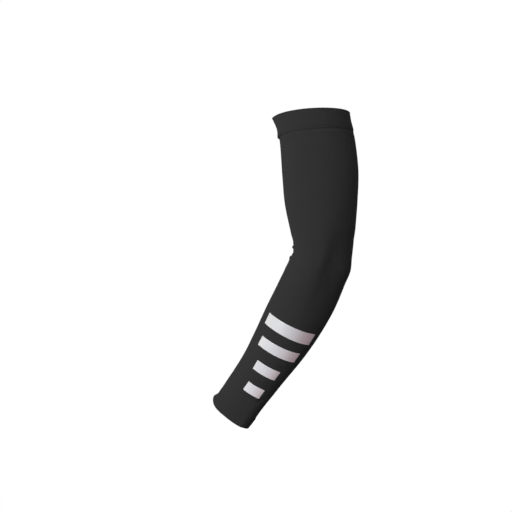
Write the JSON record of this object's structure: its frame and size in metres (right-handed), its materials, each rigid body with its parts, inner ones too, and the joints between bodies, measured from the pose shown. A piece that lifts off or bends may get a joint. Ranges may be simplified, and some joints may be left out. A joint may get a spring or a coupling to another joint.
{
  "type": "arm sleeve",
  "caption": "Stretch-knit arm sleeve in worn form, bent at the elbow, with a folded upper band, a turned wrist hem and reflective bars on the outer forearm.",
  "frame": {"origin": "centre of the upper-arm opening, in the plane of its edge", "axes": "+Z out of the upper-arm opening, along the upper arm; the arm goes in along -Z and the forearm bends towards -X; the elbow tip faces +X; the reflective bars face -Y"},
  "size_m": [0.208, 0.0896, 0.3855],
  "materials": {
    "knit": "matte charcoal-black fine-gauge stretch knit",
    "band_knit": "matte charcoal-black knit, doubled",
    "reflective_film": "silver-grey reflective heat-transfer film with a fine beaded grain"
  },
  "bodies": {
    "root": {"sleeve_tube": "knit", "upper_band": "band_knit", "wrist_hem": "band_knit", "stripe_1": "reflective_film", "stripe_2": "reflective_film", "stripe_3": "reflective_film", "stripe_4": "reflective_film"}
  },
  "joints": []
}
